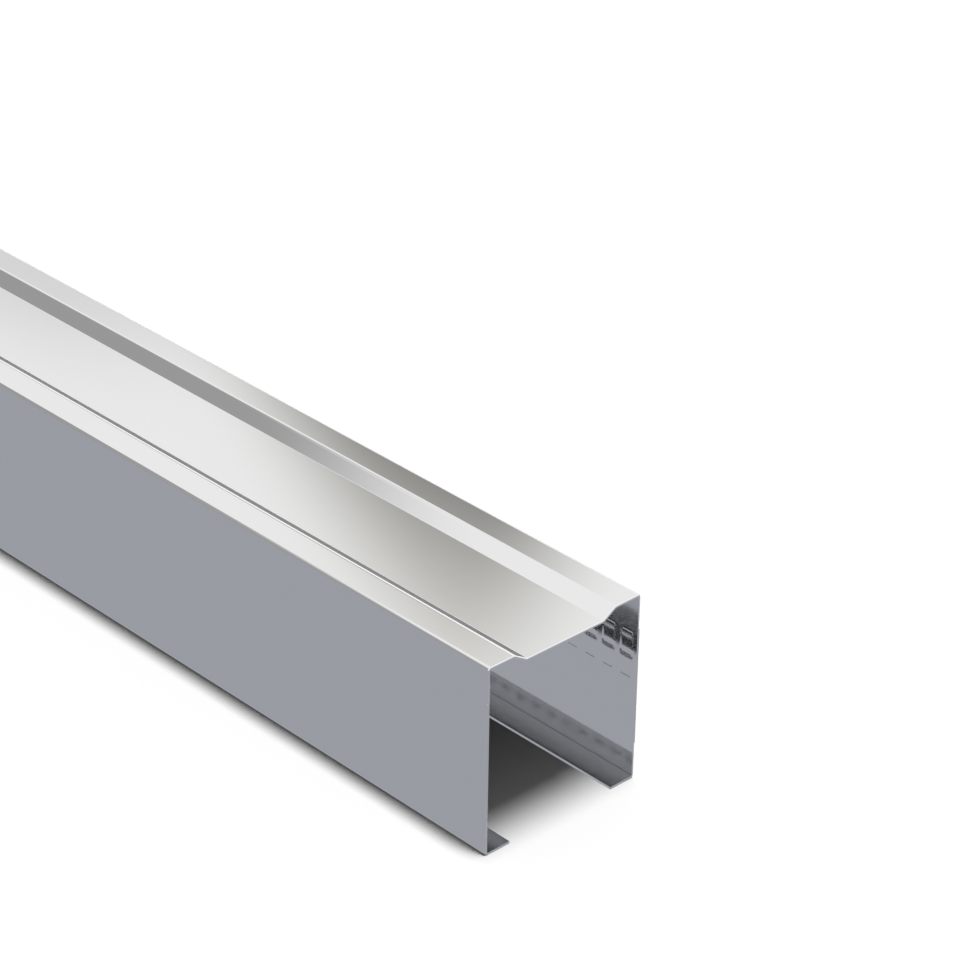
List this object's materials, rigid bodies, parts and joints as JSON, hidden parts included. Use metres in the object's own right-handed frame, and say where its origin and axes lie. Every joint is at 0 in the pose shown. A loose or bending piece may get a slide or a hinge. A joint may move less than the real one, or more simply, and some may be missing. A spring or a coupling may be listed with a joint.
{
  "type": "steel drywall stud",
  "caption": "C-shaped stud roll-formed from thin galvanised steel, with knurled flanges, short inward lips and a recessed web panel, for framing drywall partitions.",
  "frame": {"origin": "middle of the length and of the width, on the plane of the two lips", "axes": "+X along the stud, +Y across the web from one flange to the other, +Z from the lips up to the web"},
  "size_m": [2.4, 0.0474, 0.05],
  "materials": {
    "galvanised_steel": "cold-rolled strip with a smooth zinc coat, knurled on both flanges"
  },
  "bodies": {
    "root": {"stud": "galvanised_steel"}
  },
  "joints": []
}
